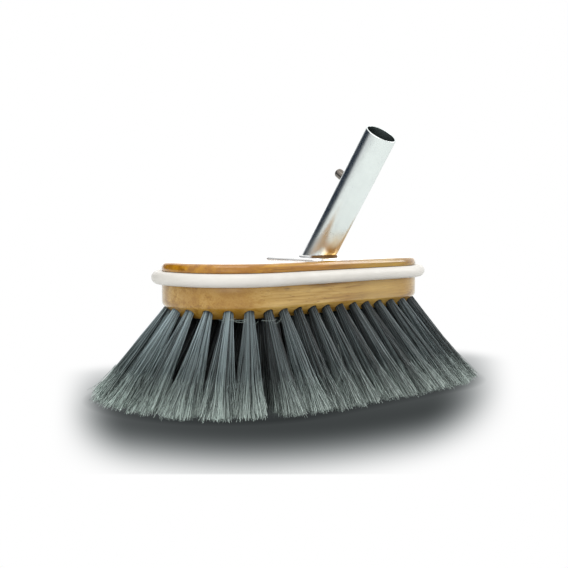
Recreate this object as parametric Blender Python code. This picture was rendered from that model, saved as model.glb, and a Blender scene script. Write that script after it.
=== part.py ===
"""Wash brush: a drilled hardwood block with a rub rail, flared tufts and a leaning pole tube.

The origin lies under the middle of the block, in the plane that the bristle tips are trimmed to.
+X runs along the block, +Z is up, and the tube leans towards -Y. All sizes are in metres.
Run it with: blender --background --python part.py
"""

import math

import bmesh
import bpy
from mathutils import Vector

# Driving dimensions of the block
BLOCK_LENGTH = 0.254
BLOCK_WIDTH = 0.1067
BLOCK_END_RADIUS = 0.0515
BLOCK_BOTTOM_Z = 0.0655
BLOCK_TOP_Z = 0.1073
TOP_ROUNDING = 0.005
BOTTOM_CHAMFER = 0.009
CORNER_STEPS = 10

# Rub rail and its groove
RAIL_Z = 0.0952
RAIL_HEIGHT = 0.0100
RAIL_PROJECTION = 0.0081
RAIL_SEAT = 0.0020
RAIL_BUTT_GAP = 0.0006
BRAD_OFFSET = 0.009
BRAD_SHANK_RADIUS = 0.0006
BRAD_HEAD_RADIUS = 0.0016
BRAD_LENGTH = 0.020

# Tufts: the outer ones round the chamfer, the inner ones in straight rows
HOLE_RADIUS = 0.0040
HOLE_DEPTH = 0.0163
TUFT_SIDES = 8
TUFT_LIFT = 0.0025
TIP_ROUNDING = 0.006
TIP_FLAT_SHARE = 0.78
OUTER_COUNT = 38
OUTER_INSET = 0.0045
OUTER_REACH = 0.0418
OUTER_DEPTH_HALF = 0.0125
OUTER_FILL = 0.46
FAN_SHARE = 0.5
ROW_PITCH = 0.017
ROW_SPACING = 0.0175
ROW_COUNTS = (10, 12, 13, 12, 10)
ROW_SPREAD_X = 1.33
ROW_SPREAD_Y = 1.72
ROW_HALF_X = 0.0124
ROW_HALF_Y = 0.0105
ROW_TRIM_STEP = 0.0004

# Plate, tube and what holds them
PLATE_CENTRE_Y = -0.014
PLATE_HALF_X = 0.022
PLATE_HALF_Y = 0.032
PLATE_CORNER = 0.007
PLATE_THICKNESS = 0.0016
SCREW_HALF_X = 0.0160
SCREW_HALF_Y = 0.0260
SCREW_LENGTH = 0.020
SCREW_HEAD_RADIUS = 0.0038
SCREW_SHANK_RADIUS = 0.0018
TUBE_FOOT_Y = -0.0237
TUBE_LEAN = math.radians(34.6)
TUBE_LENGTH = 0.120
TUBE_RADIUS = 0.0127
TUBE_WALL = 0.00125
TUBE_SIDES = 32
WELD_LEG = 0.0018

# Snap button and its spring
BUTTON_UP_TUBE = 0.0714
BUTTON_RADIUS = 0.0038
BUTTON_STICKS_OUT = 0.0095
BUTTON_HOLE_RADIUS = 0.0041
LEAF_MIDDLE = 0.0092
LEAF_THICKNESS = 0.0006
LEAF_HALF_WIDTH = 0.0050
LEAF_ABOVE_BUTTON = 0.009
LEAF_BELOW_BUTTON = 0.022
RIVET_RADIUS = 0.0017

# Facets of the small turned pieces: heads and button, pilot holes, brads
ROUND_SIDES = 16
PILOT_SIDES = 12
BRAD_SIDES = 8

# Clearance that touching pieces keep
GAP = 0.0003

UP = Vector((0.0, 0.0, 1.0))
ALONG_BLOCK = Vector((1.0, 0.0, 0.0))
TUBE_AXIS = Vector((0.0, -math.sin(TUBE_LEAN), math.cos(TUBE_LEAN)))
BUTTON_AXIS = Vector((0.0, math.cos(TUBE_LEAN), math.sin(TUBE_LEAN)))
TUBE_ORIGIN = Vector((0.0, TUBE_FOOT_Y, BLOCK_TOP_Z))
PLATE_BOTTOM_Z = BLOCK_TOP_Z + GAP
PLATE_TOP_Z = PLATE_BOTTOM_Z + PLATE_THICKNESS


def clear_scene():
    for old in list(bpy.data.objects):
        bpy.data.objects.remove(old)


def make_material(name, colour, roughness, metallic=0.0):
    made = bpy.data.materials.new(name)
    made.use_nodes = True
    shader = made.node_tree.nodes["Principled BSDF"]
    shader.inputs["Base Color"].default_value = (*colour, 1.0)
    shader.inputs["Roughness"].default_value = roughness
    shader.inputs["Metallic"].default_value = metallic
    return made


def make_object(name, points, faces, material=None, origin=Vector()):
    """A closed mesh object whose faces point out, with its origin where the piece turns or slides."""
    mesh = bpy.data.meshes.new(name)
    mesh.from_pydata([Vector(p) - origin for p in points], [], faces)
    shape = bmesh.new()
    shape.from_mesh(mesh)
    bmesh.ops.recalc_face_normals(shape, faces=shape.faces)
    shape.to_mesh(mesh)
    shape.free()
    mesh.shade_smooth()
    mesh.set_sharp_from_angle(angle=math.radians(35))
    piece = bpy.data.objects.new(name, mesh)
    piece.location = origin
    bpy.context.scene.collection.objects.link(piece)
    if material:
        mesh.materials.append(material)
    return piece


def boolean(piece, operation, helper):
    """Cuts the helper from the piece, or joins it on, and keeps the helper out of the render."""
    helper.hide_render = True
    helper.display_type = "WIRE"
    cut = piece.modifiers.new(operation.title(), "BOOLEAN")
    cut.operation = operation
    cut.solver = "EXACT"
    cut.object = helper


def loft(rings, closed_loop=False):
    """Points and faces of a skin over rings of equal count, capped unless the rings close on themselves."""
    count = len(rings[0])
    points = [p for ring in rings for p in ring]
    spans = len(rings) if closed_loop else len(rings) - 1
    faces = []
    for i in range(spans):
        low = i * count
        high = (i + 1) % len(rings) * count
        for j in range(count):
            k = (j + 1) % count
            faces.append((low + j, low + k, high + k, high + j))
    if not closed_loop:
        faces.append(tuple(reversed(range(count))))
        faces.append(tuple(range(len(points) - count, len(points))))
    return points, faces


def join(shapes):
    """One list of points and faces from several."""
    points, faces = [], []
    for shape_points, shape_faces in shapes:
        start = len(points)
        points += shape_points
        faces += [tuple(start + i for i in face) for face in shape_faces]
    return points, faces


def turned(profile, foot, axis, sides):
    """A shape turned about axis, from (radius, height above foot) pairs."""
    side = ALONG_BLOCK - axis * ALONG_BLOCK.dot(axis)
    side.normalize()
    other = axis.cross(side)
    rings = []
    for radius, height in profile:
        ring = []
        for i in range(sides):
            turn = math.tau * (i + 0.5) / sides
            ring.append(foot + axis * height + (side * math.cos(turn) + other * math.sin(turn)) * radius)
        rings.append(ring)
    return loft(rings)


def outline_at(share, inset=0.0):
    """The point a share of the way round the block's outline, and the outward normal there.

    It starts in the middle of the +Y side and runs anticlockwise seen from above. inset is how far
    inside the block's edge the outline lies, and is negative outside it.
    """
    radius = BLOCK_END_RADIUS - inset
    straight_x = BLOCK_LENGTH / 2 - BLOCK_END_RADIUS
    straight_y = BLOCK_WIDTH / 2 - BLOCK_END_RADIUS
    arc = radius * math.pi / 2
    runs = (straight_x, arc, 2 * straight_y, arc, 2 * straight_x, arc, 2 * straight_y, arc, straight_x)
    left = share % 1.0 * sum(runs)
    corners = ((-1, 1), (-1, -1), (1, -1), (1, 1))
    for i, run in enumerate(runs):
        if left <= run or i == len(runs) - 1:
            break
        left -= run
    quarter = i // 2
    if i % 2:
        corner = corners[quarter]
        turn = math.pi / 2 * (quarter + 1) + left / radius
        normal = Vector((math.cos(turn), math.sin(turn), 0.0))
        centre = Vector((corner[0] * straight_x, corner[1] * straight_y, 0.0))
        return centre + normal * radius, normal
    turn = math.pi / 2 * (quarter + 1)
    normal = Vector((math.cos(turn), math.sin(turn), 0.0))
    forward = UP.cross(normal)
    if i == 0:
        start = Vector((0.0, straight_y, 0.0))
    else:
        previous = corners[quarter - 1]
        start = Vector((previous[0] * straight_x, previous[1] * straight_y, 0.0))
    return start + normal * radius + forward * left, normal


def outline_stations():
    """The outline's corner points, each with its normal: the ends of the straights and steps of the arcs."""
    straight_x = BLOCK_LENGTH / 2 - BLOCK_END_RADIUS
    straight_y = BLOCK_WIDTH / 2 - BLOCK_END_RADIUS
    stations = []
    for quarter, (x, y) in enumerate(((-1, 1), (-1, -1), (1, -1), (1, 1))):
        centre = Vector((x * straight_x, y * straight_y, 0.0))
        for step in range(CORNER_STEPS + 1):
            turn = math.pi / 2 * (quarter + 1 + step / CORNER_STEPS)
            normal = Vector((math.cos(turn), math.sin(turn), 0.0))
            stations.append((centre + normal * BLOCK_END_RADIUS, normal))
    return stations


def stacked_outline(profile):
    """Rings of the block's outline, from (inset, z) pairs."""
    return [
        [point - normal * inset + UP * z for point, normal in outline_stations()]
        for inset, z in profile
    ]


def tuft_ends():
    """(root, tip, across, half width across, trim height) of each outer tuft, round the chamfer."""
    root_z = BLOCK_BOTTOM_Z + BOTTOM_CHAMFER - OUTER_INSET
    ends = []
    for i in range(OUTER_COUNT):
        root, normal = outline_at(i / OUTER_COUNT, OUTER_INSET)
        straight_out = root + normal * (OUTER_INSET + OUTER_REACH)
        evenly_spread = outline_at(i / OUTER_COUNT, -OUTER_REACH)[0]
        ends.append((root + UP * root_z, straight_out.lerp(evenly_spread, FAN_SHARE)))
    tufts = []
    for i, (root, tip) in enumerate(ends):
        before = ends[i - 1][1]
        after = ends[(i + 1) % OUTER_COUNT][1]
        half = OUTER_FILL * min((tip - before).length, (tip - after).length)
        away = tip - root
        away.z = 0.0
        tufts.append((root, tip, UP.cross(away.normalized()), half, 0.0))
    return tufts


def row_ends(row):
    """(root, tip, across, half width across, trim height) of each tuft in an inner row."""
    count = ROW_COUNTS[row]
    y = (row - (len(ROW_COUNTS) - 1) / 2) * ROW_SPACING
    tufts = []
    for i in range(count):
        x = (i - (count - 1) / 2) * ROW_PITCH
        trim = ROW_TRIM_STEP * (i % 2)
        root = Vector((x, y, BLOCK_BOTTOM_Z))
        tip = Vector((x * ROW_SPREAD_X, y * ROW_SPREAD_Y, 0.0))
        tufts.append((root, tip, ALONG_BLOCK, ROW_HALF_X, trim))
    return tufts


def tuft_directions(root, tip, across):
    axis = (tip - root).normalized()
    side = (across - axis * across.dot(axis)).normalized()
    return axis, side, axis.cross(side)


def tuft_shape(root, tip, across, half_across, trim, half_away):
    """A stub that fills the hole and flares to an oval tip, trimmed flat at the height trim."""
    axis, side, other = tuft_directions(root, tip, across)
    away = Vector((other.x, other.y, 0.0)).normalized()
    turns = [math.tau * (i + 0.5) / TUFT_SIDES for i in range(TUFT_SIDES)]
    stub = HOLE_RADIUS - GAP

    def round_ring(centre):
        return [centre + (side * math.cos(t) + other * math.sin(t)) * stub for t in turns]

    def oval_ring(z, share):
        centre = tip - axis * (z / abs(axis.z))
        return [
            centre + (across * (math.cos(t) * half_across) + away * (math.sin(t) * half_away)) * share
            for t in turns
        ]

    return loft(
        [
            round_ring(root - axis * (HOLE_DEPTH - GAP)),
            round_ring(root + axis * TUFT_LIFT),
            oval_ring(TIP_ROUNDING + trim, 1.0),
            oval_ring(trim, TIP_FLAT_SHARE),
        ]
    )


def hole_shape(root, tip, across):
    """The drill for one tuft, in line with it."""
    axis, side, other = tuft_directions(root, tip, across)
    rings = []
    for along in (-HOLE_DEPTH, HOLE_RADIUS * 2):
        ring = []
        for i in range(TUFT_SIDES):
            turn = math.tau * (i + 0.5) / TUFT_SIDES
            spoke = side * math.cos(turn) + other * math.sin(turn)
            ring.append(root + axis * along + spoke * HOLE_RADIUS)
        rings.append(ring)
    return loft(rings)


def screw_places():
    return [
        Vector((x * SCREW_HALF_X, PLATE_CENTRE_Y + y * SCREW_HALF_Y, PLATE_TOP_Z))
        for x, y in ((-1, -1), (1, -1), (1, 1), (-1, 1))
    ]


def brad_places():
    """Where each brad's head sits: in the crown of the rail, on either side of its butt joint."""
    crown_y = BLOCK_WIDTH / 2 + RAIL_PROJECTION
    return [Vector((side * BRAD_OFFSET, crown_y, RAIL_Z)) for side in (-1, 1)]


def make_block(material):
    half_groove = RAIL_HEIGHT / 2 + GAP
    easing = 0.0008
    bottom = BLOCK_BOTTOM_Z
    profile = [
        (BOTTOM_CHAMFER + easing, bottom),
        (BOTTOM_CHAMFER - easing, bottom + easing),
        (easing, bottom + BOTTOM_CHAMFER - easing),
        (0.0, bottom + BOTTOM_CHAMFER + easing),
        (0.0, RAIL_Z - half_groove),
        (RAIL_SEAT, RAIL_Z - half_groove),
        (RAIL_SEAT, RAIL_Z + half_groove),
        (0.0, RAIL_Z + half_groove),
    ]
    rounding_steps = 4
    for step in range(rounding_steps + 1):
        turn = math.pi / 2 * step / rounding_steps
        profile.append(
            (TOP_ROUNDING * (1 - math.cos(turn)), BLOCK_TOP_Z - TOP_ROUNDING * (1 - math.sin(turn)))
        )
    block = make_object("wood_block", *loft(stacked_outline(profile)), material)

    drills = [hole_shape(root, tip, across) for root, tip, across, *_ in tuft_ends()]
    for row in range(len(ROW_COUNTS)):
        drills += [hole_shape(root, tip, across) for root, tip, across, *_ in row_ends(row)]
    pilot = SCREW_SHANK_RADIUS + GAP
    for place in screw_places():
        drills.append(turned([(pilot, -SCREW_LENGTH - GAP), (pilot, GAP)], place, UP, PILOT_SIDES))
    pilot = BRAD_SHANK_RADIUS + GAP
    inward = Vector((0.0, -1.0, 0.0))
    for place in brad_places():
        drills.append(turned([(pilot, GAP), (pilot, BRAD_LENGTH + GAP)], place, inward, BRAD_SIDES))
    boolean(block, "DIFFERENCE", make_object("block_drills", *join(drills)))
    return block


def make_rail(material):
    """A D-section strip bent round the block, its ends butted in the middle of the +Y side."""
    round_radius = RAIL_HEIGHT / 2
    section = [(GAP - RAIL_SEAT, -round_radius)]
    arc_steps = 6
    for step in range(arc_steps + 1):
        turn = math.pi * (step / arc_steps - 0.5)
        out = RAIL_PROJECTION - round_radius + round_radius * math.cos(turn)
        section.append((out, round_radius * math.sin(turn)))
    section.append((GAP - RAIL_SEAT, round_radius))
    end = Vector((RAIL_BUTT_GAP / 2, BLOCK_WIDTH / 2, 0.0))
    normal = Vector((0.0, 1.0, 0.0))
    start = Vector((-end.x, end.y, 0.0))
    stations = [(start, normal), *outline_stations(), (end, normal)]
    rings = [
        [point + out_normal * out + UP * (RAIL_Z + z) for out, z in section]
        for point, out_normal in stations
    ]
    rail = make_object("rub_rail", *loft(rings), material)

    shank = BRAD_SHANK_RADIUS + GAP
    head = BRAD_HEAD_RADIUS + GAP
    seat = 0.0022
    inward = Vector((0.0, -1.0, 0.0))
    through = RAIL_PROJECTION + RAIL_SEAT + GAP
    drill = [(head, -seat), (head, seat), (shank, seat), (shank, through)]
    drills = [turned(drill, place, inward, BRAD_SIDES) for place in brad_places()]
    boolean(rail, "DIFFERENCE", make_object("rail_drills", *join(drills)))


def make_brads(material):
    head_top = 0.0010
    head_bottom = 0.0019
    point_length = 0.002
    inward = Vector((0.0, -1.0, 0.0))
    for number, place in enumerate(brad_places(), 1):
        profile = [
            (BRAD_HEAD_RADIUS, head_top),
            (BRAD_HEAD_RADIUS, head_bottom),
            (BRAD_SHANK_RADIUS, head_bottom),
            (BRAD_SHANK_RADIUS, BRAD_LENGTH - point_length),
            (BRAD_SHANK_RADIUS / 3, BRAD_LENGTH),
        ]
        shape = turned(profile, place, inward, BRAD_SIDES)
        make_object(f"rail_brad_{number}", *shape, material)


def make_plate(material):
    easing = 0.0005
    points = []
    for quarter, (x, y) in enumerate(((1, 1), (-1, 1), (-1, -1), (1, -1))):
        centre = Vector((x * (PLATE_HALF_X - PLATE_CORNER), y * (PLATE_HALF_Y - PLATE_CORNER), 0.0))
        centre.y += PLATE_CENTRE_Y
        steps = 5
        for step in range(steps + 1):
            turn = math.pi / 2 * (quarter + step / steps)
            normal = Vector((math.cos(turn), math.sin(turn), 0.0))
            points.append((centre + normal * PLATE_CORNER, normal))
    rows = ((0.0, PLATE_BOTTOM_Z), (0.0, PLATE_TOP_Z - easing), (easing, PLATE_TOP_Z))
    rings = [[point - normal * inset + UP * z for point, normal in points] for inset, z in rows]
    plate = make_object("base_plate", *loft(rings), material)

    head = SCREW_HEAD_RADIUS + GAP
    shank = SCREW_SHANK_RADIUS + GAP
    sink = head - shank
    past_plate = 0.005
    above_plate = 0.002
    drill = [(shank, -past_plate), (shank, -sink), (head, 0.0), (head, above_plate)]
    drills = [turned(drill, place, UP, ROUND_SIDES) for place in screw_places()]
    boolean(plate, "DIFFERENCE", make_object("plate_drills", *join(drills)))


def make_screws(material):
    """Countersunk wood screws with a cross recess, flush with the plate."""
    sink = SCREW_HEAD_RADIUS - SCREW_SHANK_RADIUS
    head_rim = 0.0002
    point_length = 0.004
    arm = 0.0022
    half_slot = 0.0005
    slot_depth = 0.0014
    cross = []
    for quarter in range(4):
        turn = math.pi / 2 * quarter
        out = Vector((math.cos(turn), math.sin(turn), 0.0))
        left = UP.cross(out)
        cross += [out * arm - left * half_slot, out * arm + left * half_slot]
        cross.append(out * half_slot + left * half_slot)
    for number, place in enumerate(screw_places(), 1):
        profile = [
            (SCREW_SHANK_RADIUS / 4, -SCREW_LENGTH),
            (SCREW_SHANK_RADIUS, point_length - SCREW_LENGTH),
            (SCREW_SHANK_RADIUS, -sink),
            (SCREW_HEAD_RADIUS, -head_rim),
            (SCREW_HEAD_RADIUS, 0.0),
        ]
        shape = turned(profile, place, UP, ROUND_SIDES)
        screw = make_object(f"plate_screw_{number}", *shape, material)
        rings = [[place + p + UP * z for p in cross] for z in (-slot_depth, slot_depth)]
        recess = make_object(f"screw_recess_{number}", *loft(rings))
        boolean(screw, "DIFFERENCE", recess)


def tube_spoke(i):
    turn = math.tau * (i + 0.5) / TUBE_SIDES
    return ALONG_BLOCK * math.cos(turn) + TUBE_AXIS.cross(ALONG_BLOCK) * math.sin(turn)


def tube_ring_level(radius, z):
    """The slanting ring where a cylinder round the tube's axis meets a level plane."""
    ring = []
    for i in range(TUBE_SIDES):
        start = TUBE_ORIGIN + tube_spoke(i) * radius
        ring.append(start + TUBE_AXIS * ((z - start.z) / TUBE_AXIS.z))
    return ring


def tube_ring_square(radius, along):
    return [TUBE_ORIGIN + TUBE_AXIS * along + tube_spoke(i) * radius for i in range(TUBE_SIDES)]


def make_tube(material):
    inner = TUBE_RADIUS - TUBE_WALL
    foot_z = PLATE_TOP_Z + GAP
    rings = [
        tube_ring_level(TUBE_RADIUS, foot_z),
        tube_ring_square(TUBE_RADIUS, TUBE_LENGTH),
        tube_ring_square(inner, TUBE_LENGTH),
        tube_ring_level(inner, foot_z),
    ]
    tube = make_object("socket_tube", *loft(rings, closed_loop=True), material)
    centre = TUBE_ORIGIN + TUBE_AXIS * BUTTON_UP_TUBE
    drill = turned(
        [(BUTTON_HOLE_RADIUS, TUBE_RADIUS / 2), (BUTTON_HOLE_RADIUS, TUBE_RADIUS * 2)],
        centre,
        BUTTON_AXIS,
        ROUND_SIDES,
    )
    boolean(tube, "DIFFERENCE", make_object("button_drill", *drill))


def make_weld(material):
    """A fillet round the foot of the tube, three-cornered in section."""
    inner = TUBE_RADIUS + GAP
    foot_z = PLATE_TOP_Z + GAP
    rings = [
        tube_ring_level(inner, foot_z),
        tube_ring_level(inner, foot_z + WELD_LEG),
        tube_ring_level(inner + WELD_LEG, foot_z),
    ]
    make_object("weld_bead", *loft(rings, closed_loop=True), material)


def make_spring(material):
    """A flat strip bent into a U inside the tube, with the button riveted to its upper leg."""
    half = LEAF_THICKNESS / 2
    path = [(BUTTON_UP_TUBE + LEAF_ABOVE_BUTTON, LEAF_MIDDLE)]
    bend_at = BUTTON_UP_TUBE - LEAF_BELOW_BUTTON
    bend_steps = 10
    for step in range(bend_steps + 1):
        turn = math.pi * step / bend_steps
        path.append((bend_at - LEAF_MIDDLE * math.sin(turn), LEAF_MIDDLE * math.cos(turn)))
    path.append((BUTTON_UP_TUBE + LEAF_ABOVE_BUTTON / 2, -LEAF_MIDDLE))

    rings = []
    for i, (along, out) in enumerate(path):
        before = Vector(path[max(i - 1, 0)])
        after = Vector(path[min(i + 1, len(path) - 1)])
        run = (after - before).normalized()
        if 1 <= i <= bend_steps + 1:
            run = Vector((-out, along - bend_at)).normalized()
        normal = Vector((run.y, -run.x)) * half
        ring = []
        for x, side in ((-1, -1), (1, -1), (1, 1), (-1, 1)):
            place = TUBE_AXIS * (along + side * normal.x) + BUTTON_AXIS * (out + side * normal.y)
            ring.append(TUBE_ORIGIN + place + ALONG_BLOCK * (x * LEAF_HALF_WIDTH))
        rings.append(ring)
    spring = make_object("snap_spring", *loft(rings), material)
    centre = TUBE_ORIGIN + TUBE_AXIS * BUTTON_UP_TUBE
    hole = RIVET_RADIUS + GAP
    reach = 0.002
    profile = [(hole, LEAF_MIDDLE - reach), (hole, LEAF_MIDDLE + reach)]
    drill = turned(profile, centre, BUTTON_AXIS, PILOT_SIDES)
    boolean(spring, "DIFFERENCE", make_object("rivet_drill", *drill))


def make_button(material):
    """A round-nosed button with a rivet tail, its origin on the tube's axis."""
    leaf_inside = LEAF_MIDDLE - LEAF_THICKNESS / 2 - GAP
    leaf_outside = LEAF_MIDDLE + LEAF_THICKNESS / 2 + GAP
    tail_radius = 0.0026
    tail_height = 0.0007
    nose = TUBE_RADIUS + BUTTON_STICKS_OUT
    nose_round = 0.0030
    profile = [
        (tail_radius, leaf_inside - tail_height),
        (tail_radius, leaf_inside),
        (RIVET_RADIUS, leaf_inside),
        (RIVET_RADIUS, leaf_outside),
        (BUTTON_RADIUS, leaf_outside),
    ]
    steps = 5
    for step in range(steps):
        turn = math.pi / 2 * step / steps
        radius = BUTTON_RADIUS - nose_round + nose_round * math.cos(turn)
        profile.append((radius, nose - nose_round + nose_round * math.sin(turn)))
    profile.append((BUTTON_RADIUS - nose_round, nose))
    centre = TUBE_ORIGIN + TUBE_AXIS * BUTTON_UP_TUBE
    shape = turned(profile, centre, BUTTON_AXIS, ROUND_SIDES)
    make_object("snap_button", *shape, material, origin=centre)


def make_outer_tufts(material):
    for number, tuft in enumerate(tuft_ends(), 1):
        shape = tuft_shape(*tuft, OUTER_DEPTH_HALF)
        make_object(f"outer_tuft_{number:02d}", *shape, material)


def make_inner_rows(material):
    """Each row is one body, because its tufts spread until their tips run together."""
    for row in range(len(ROW_COUNTS)):
        shapes = [tuft_shape(*tuft, ROW_HALF_Y) for tuft in row_ends(row)]
        name = f"inner_tuft_row_{row + 1}"
        piece = make_object(name, *join(shapes[0::2]), material)
        boolean(piece, "UNION", make_object(f"{name}_others", *join(shapes[1::2])))


def main():
    clear_scene()
    wood = make_material("varnished_hardwood", (0.42, 0.23, 0.08), 0.28)
    vinyl = make_material("white_vinyl", (0.82, 0.79, 0.72), 0.40)
    chrome = make_material("chromed_steel", (0.86, 0.87, 0.88), 0.08, 1.0)
    zinc = make_material("plated_steel", (0.62, 0.62, 0.60), 0.25, 1.0)
    spring_steel = make_material("spring_steel", (0.45, 0.45, 0.46), 0.30, 1.0)
    bristle = make_material("grey_bristle", (0.13, 0.16, 0.17), 0.60)
    make_block(wood)
    make_rail(vinyl)
    make_brads(zinc)
    make_plate(chrome)
    make_screws(zinc)
    make_tube(chrome)
    make_weld(chrome)
    make_spring(spring_steel)
    make_button(zinc)
    make_outer_tufts(bristle)
    make_inner_rows(bristle)


main()
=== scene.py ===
import math

import bmesh
import bpy
import numpy as np
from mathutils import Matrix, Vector


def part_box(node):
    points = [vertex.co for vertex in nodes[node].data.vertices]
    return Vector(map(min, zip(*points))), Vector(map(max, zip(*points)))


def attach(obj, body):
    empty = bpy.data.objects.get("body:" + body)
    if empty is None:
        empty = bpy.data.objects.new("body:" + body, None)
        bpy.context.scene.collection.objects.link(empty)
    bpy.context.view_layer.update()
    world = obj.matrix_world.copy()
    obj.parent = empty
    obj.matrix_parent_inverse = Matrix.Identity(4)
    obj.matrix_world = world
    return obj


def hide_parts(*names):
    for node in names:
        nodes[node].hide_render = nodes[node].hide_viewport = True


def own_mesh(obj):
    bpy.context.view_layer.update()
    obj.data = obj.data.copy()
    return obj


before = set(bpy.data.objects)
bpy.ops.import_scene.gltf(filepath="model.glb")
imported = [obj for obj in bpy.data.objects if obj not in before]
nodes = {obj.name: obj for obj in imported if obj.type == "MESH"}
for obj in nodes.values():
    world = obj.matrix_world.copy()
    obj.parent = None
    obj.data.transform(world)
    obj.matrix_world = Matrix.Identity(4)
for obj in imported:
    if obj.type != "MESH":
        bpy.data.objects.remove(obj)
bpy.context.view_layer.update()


# The block: a hardwood board sawn to an oblong with round ends. It is grooved round the edge for the
# rail, rounded along the top, chamfered underneath, drilled for the bristles and then varnished.
BLOCK_LENGTH = 0.254
BLOCK_WIDTH = 0.1067
BLOCK_END_RADIUS = 0.0515
BLOCK_BOTTOM = 0.0655
BLOCK_TOP = 0.1073
BLOCK_CHAMFER = 0.009
BLOCK_TOP_ROUNDING = 0.005
GROOVE_MIDDLE = 0.0952
GROOVE_HALF = 0.0053
GROOVE_DEPTH = 0.0020
BRISTLE_HOLE_RADIUS = 0.0040
SCREW_HOLE_RADIUS = 0.0021
BRAD_HOLE_RADIUS = 0.0009
CLEARANCE = 0.0003
TUFT_GAP = 0.004
UP = Vector((0.0, 0.0, 1.0))
ALONG_BLOCK = Vector((1.0, 0.0, 0.0))


def outline(half, radius, steps, first):
    """Points round an oblong with round corners and their outward normals, anticlockwise."""
    found = []
    for quarter in range(first, first + 4):
        x, y = ((1, 1), (-1, 1), (-1, -1), (1, -1))[quarter % 4]
        middle = Vector((x * (half.x - radius), y * (half.y - radius), 0.0))
        for step in range(steps + 1):
            turn = math.pi / 2 * (quarter + step / steps)
            normal = Vector((math.cos(turn), math.sin(turn), 0.0))
            found.append((middle + normal * radius, normal))
    return found


def edge_rings(section, edge):
    """A ring of points for each place in a section of (distance in from the edge, height)."""
    return [[point - normal * s.x + UP * s.y for point, normal in edge] for s in section]


def eased(corners, steps=5):
    """A section line through (across, up, easing) corners, each corner eased over that length."""
    line = []
    for i, (across, up, easing) in enumerate(corners):
        here = Vector((across, up))
        if not easing:
            line.append(here)
            continue
        before = (Vector(corners[i - 1][:2]) - here).normalized() * easing
        after = (Vector(corners[i + 1][:2]) - here).normalized() * easing
        for step in range(steps + 1):
            t = step / steps
            line.append(here + before * (1 - t) ** 2 + after * t ** 2)
    return line


def skin(rings, closed=False):
    """Points and faces over rings of equal count. An open run of rings gets a cap at each end."""
    count = len(rings[0])
    points = [p for ring in rings for p in ring]
    faces = []
    for i in range(len(rings) if closed else len(rings) - 1):
        low, high = i * count, (i + 1) % len(rings) * count
        for j in range(count):
            k = (j + 1) % count
            faces.append((low + j, low + k, high + k, high + j))
    if not closed:
        faces.append(tuple(reversed(range(count))))
        faces.append(tuple(range(len(points) - count, len(points))))
    return points, faces


def turned(profile, foot, axis, sides):
    """A closed shape turned about an axis, from (radius, height above the foot) pairs."""
    side = (ALONG_BLOCK - axis * ALONG_BLOCK.dot(axis)).normalized()
    other = axis.cross(side)
    rings = []
    for radius, height in profile:
        rings.append([])
        for i in range(sides):
            turn = math.tau * (i + 0.5) / sides
            spoke = side * math.cos(turn) + other * math.sin(turn)
            rings[-1].append(foot + axis * height + spoke * radius)
    return skin(rings)


def rod(start, end, radius, sides):
    """A plain round rod between two points, for drilling."""
    run = end - start
    return turned([(radius, 0.0), (radius, run.length)], start, run.normalized(), sides)


def joined(shapes):
    points, faces = [], []
    for shape_points, shape_faces in shapes:
        start = len(points)
        points += shape_points
        faces += [tuple(start + i for i in face) for face in shape_faces]
    return points, faces


def new_object(name, data):
    made = bpy.data.objects.new(name, data)
    bpy.context.scene.collection.objects.link(made)
    return made


def make_piece(name, points, faces):
    """A closed mesh object at the origin, its faces pointing out and its sharp edges kept sharp."""
    mesh = bpy.data.meshes.new(name)
    mesh.from_pydata([tuple(p) for p in points], [], faces)
    shape = bmesh.new()
    shape.from_mesh(mesh)
    bmesh.ops.recalc_face_normals(shape, faces=shape.faces)
    shape.to_mesh(mesh)
    shape.free()
    piece = new_object(name, mesh)
    shade(piece)
    return piece


def shade(piece, sharp_from=38):
    piece.data.shade_smooth()
    piece.data.set_sharp_from_angle(angle=math.radians(sharp_from))


def settle(piece):
    """Turns what the modifiers make of a piece into its own plain mesh."""
    graph = bpy.context.evaluated_depsgraph_get()
    made = piece.evaluated_get(graph)
    mesh = bpy.data.meshes.new_from_object(made, preserve_all_data_layers=True, depsgraph=graph)
    piece.modifiers.clear()
    piece.data = mesh
    mesh.name = piece.name


def cut_away(piece, shapes):
    """Cuts closed shapes out of a piece."""
    tool = make_piece(piece.name + "_tool", *joined(shapes))
    cut = piece.modifiers.new("Cut", "BOOLEAN")
    cut.operation = "DIFFERENCE"
    cut.solver = "EXACT"
    cut.object = tool
    settle(piece)
    bpy.data.objects.remove(tool)
    shade(piece)


def add(tree, kind, inputs=None, **settings):
    """A node in a tree. Each input is given a value, or another node's output to follow."""
    made = tree.nodes.new(kind)
    for name, value in settings.items():
        setattr(made, name, value)
    for key, value in (inputs or {}).items():
        if isinstance(value, bpy.types.NodeSocket):
            tree.links.new(value, made.inputs[key])
        else:
            made.inputs[key].default_value = value
    return made


def maths(tree, operation, a, b=0.0):
    return add(tree, "ShaderNodeMath", {0: a, 1: b}, operation=operation).outputs[0]


def plus(tree, a, b):
    return maths(tree, "ADD", a, b)


def minus(tree, a, b):
    return maths(tree, "SUBTRACT", a, b)


def times(tree, a, b):
    return maths(tree, "MULTIPLY", a, b)


def vectors(tree, operation, a, b=(0.0, 0.0, 0.0)):
    second = "Scale" if operation == "SCALE" else 1
    made = add(tree, "ShaderNodeVectorMath", {0: a, second: b}, operation=operation)
    return made.outputs["Value" if operation in ("LENGTH", "DOT_PRODUCT") else "Vector"]


def moved(tree, place, by):
    return vectors(tree, "ADD", place, by)


def split(tree, place):
    return add(tree, "ShaderNodeSeparateXYZ", {0: place}).outputs


def spread(tree, value, low, high, to_low=0.0, to_high=1.0):
    """Stretches a range of values to another and holds it there."""
    return add(tree, "ShaderNodeMapRange", {0: value, 1: low, 2: high, 3: to_low, 4: to_high}).outputs[0]


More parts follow.
